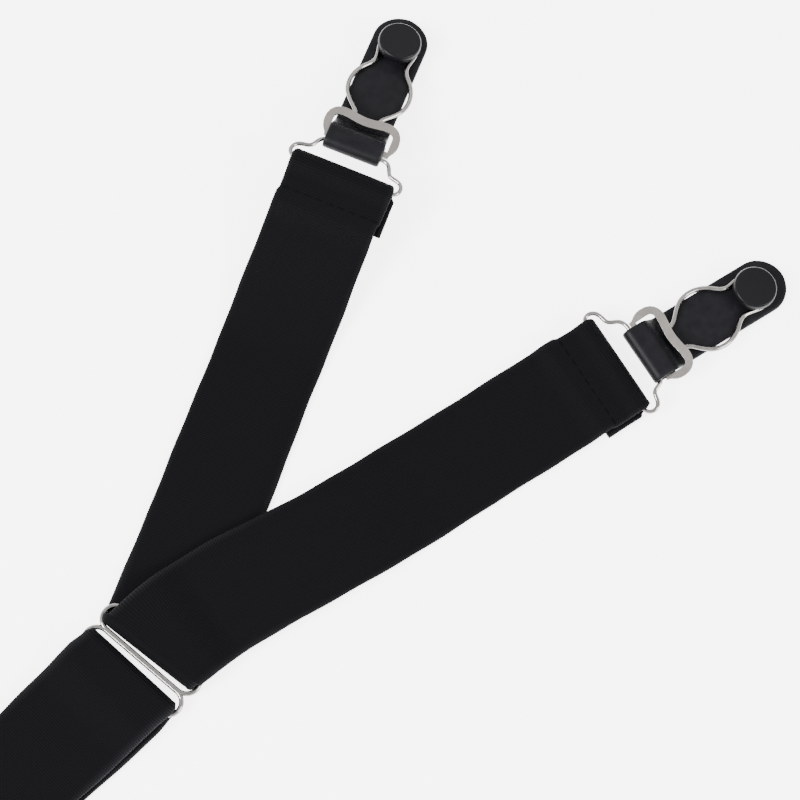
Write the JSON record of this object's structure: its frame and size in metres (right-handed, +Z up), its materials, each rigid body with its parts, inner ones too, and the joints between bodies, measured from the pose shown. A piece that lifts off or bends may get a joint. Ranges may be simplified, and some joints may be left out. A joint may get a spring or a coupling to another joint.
{
  "type": "shirt stay",
  "caption": "Y-shaped elastic shirt stay: a fork of ribbed black elastic with button-and-loop clips on leather tabs, joined by a wire buckle to a doubled lower band with a sock clasp.",
  "frame": {"origin": "under the middle of the whole, on the surface that the stay lies on", "axes": "+Y along the stay from the sock clasp to the fork's clips, +Z up from the surface, +X towards the right leg"},
  "size_m": [0.1134, 0.3064, 0.0128],
  "materials": {
    "elastic": "fine crosswise ribs, matt black",
    "leather": "smooth black, low sheen",
    "black_plastic": "black, satin",
    "bright_wire": "polished nickel",
    "satin_plate": "satin nickel"
  },
  "bodies": {
    "root": {"fork_band": "elastic", "lower_band": "elastic", "junction_buckle": "bright_wire", "sock_clasp": "satin_plate", "left_hanger": "bright_wire", "left_grip_tab": "leather", "left_button": "black_plastic", "left_catch_loop": "bright_wire", "left_catch_plate": "satin_plate", "right_hanger": "bright_wire", "right_grip_tab": "leather", "right_button": "black_plastic", "right_catch_loop": "bright_wire", "right_catch_plate": "satin_plate"}
  },
  "joints": []
}
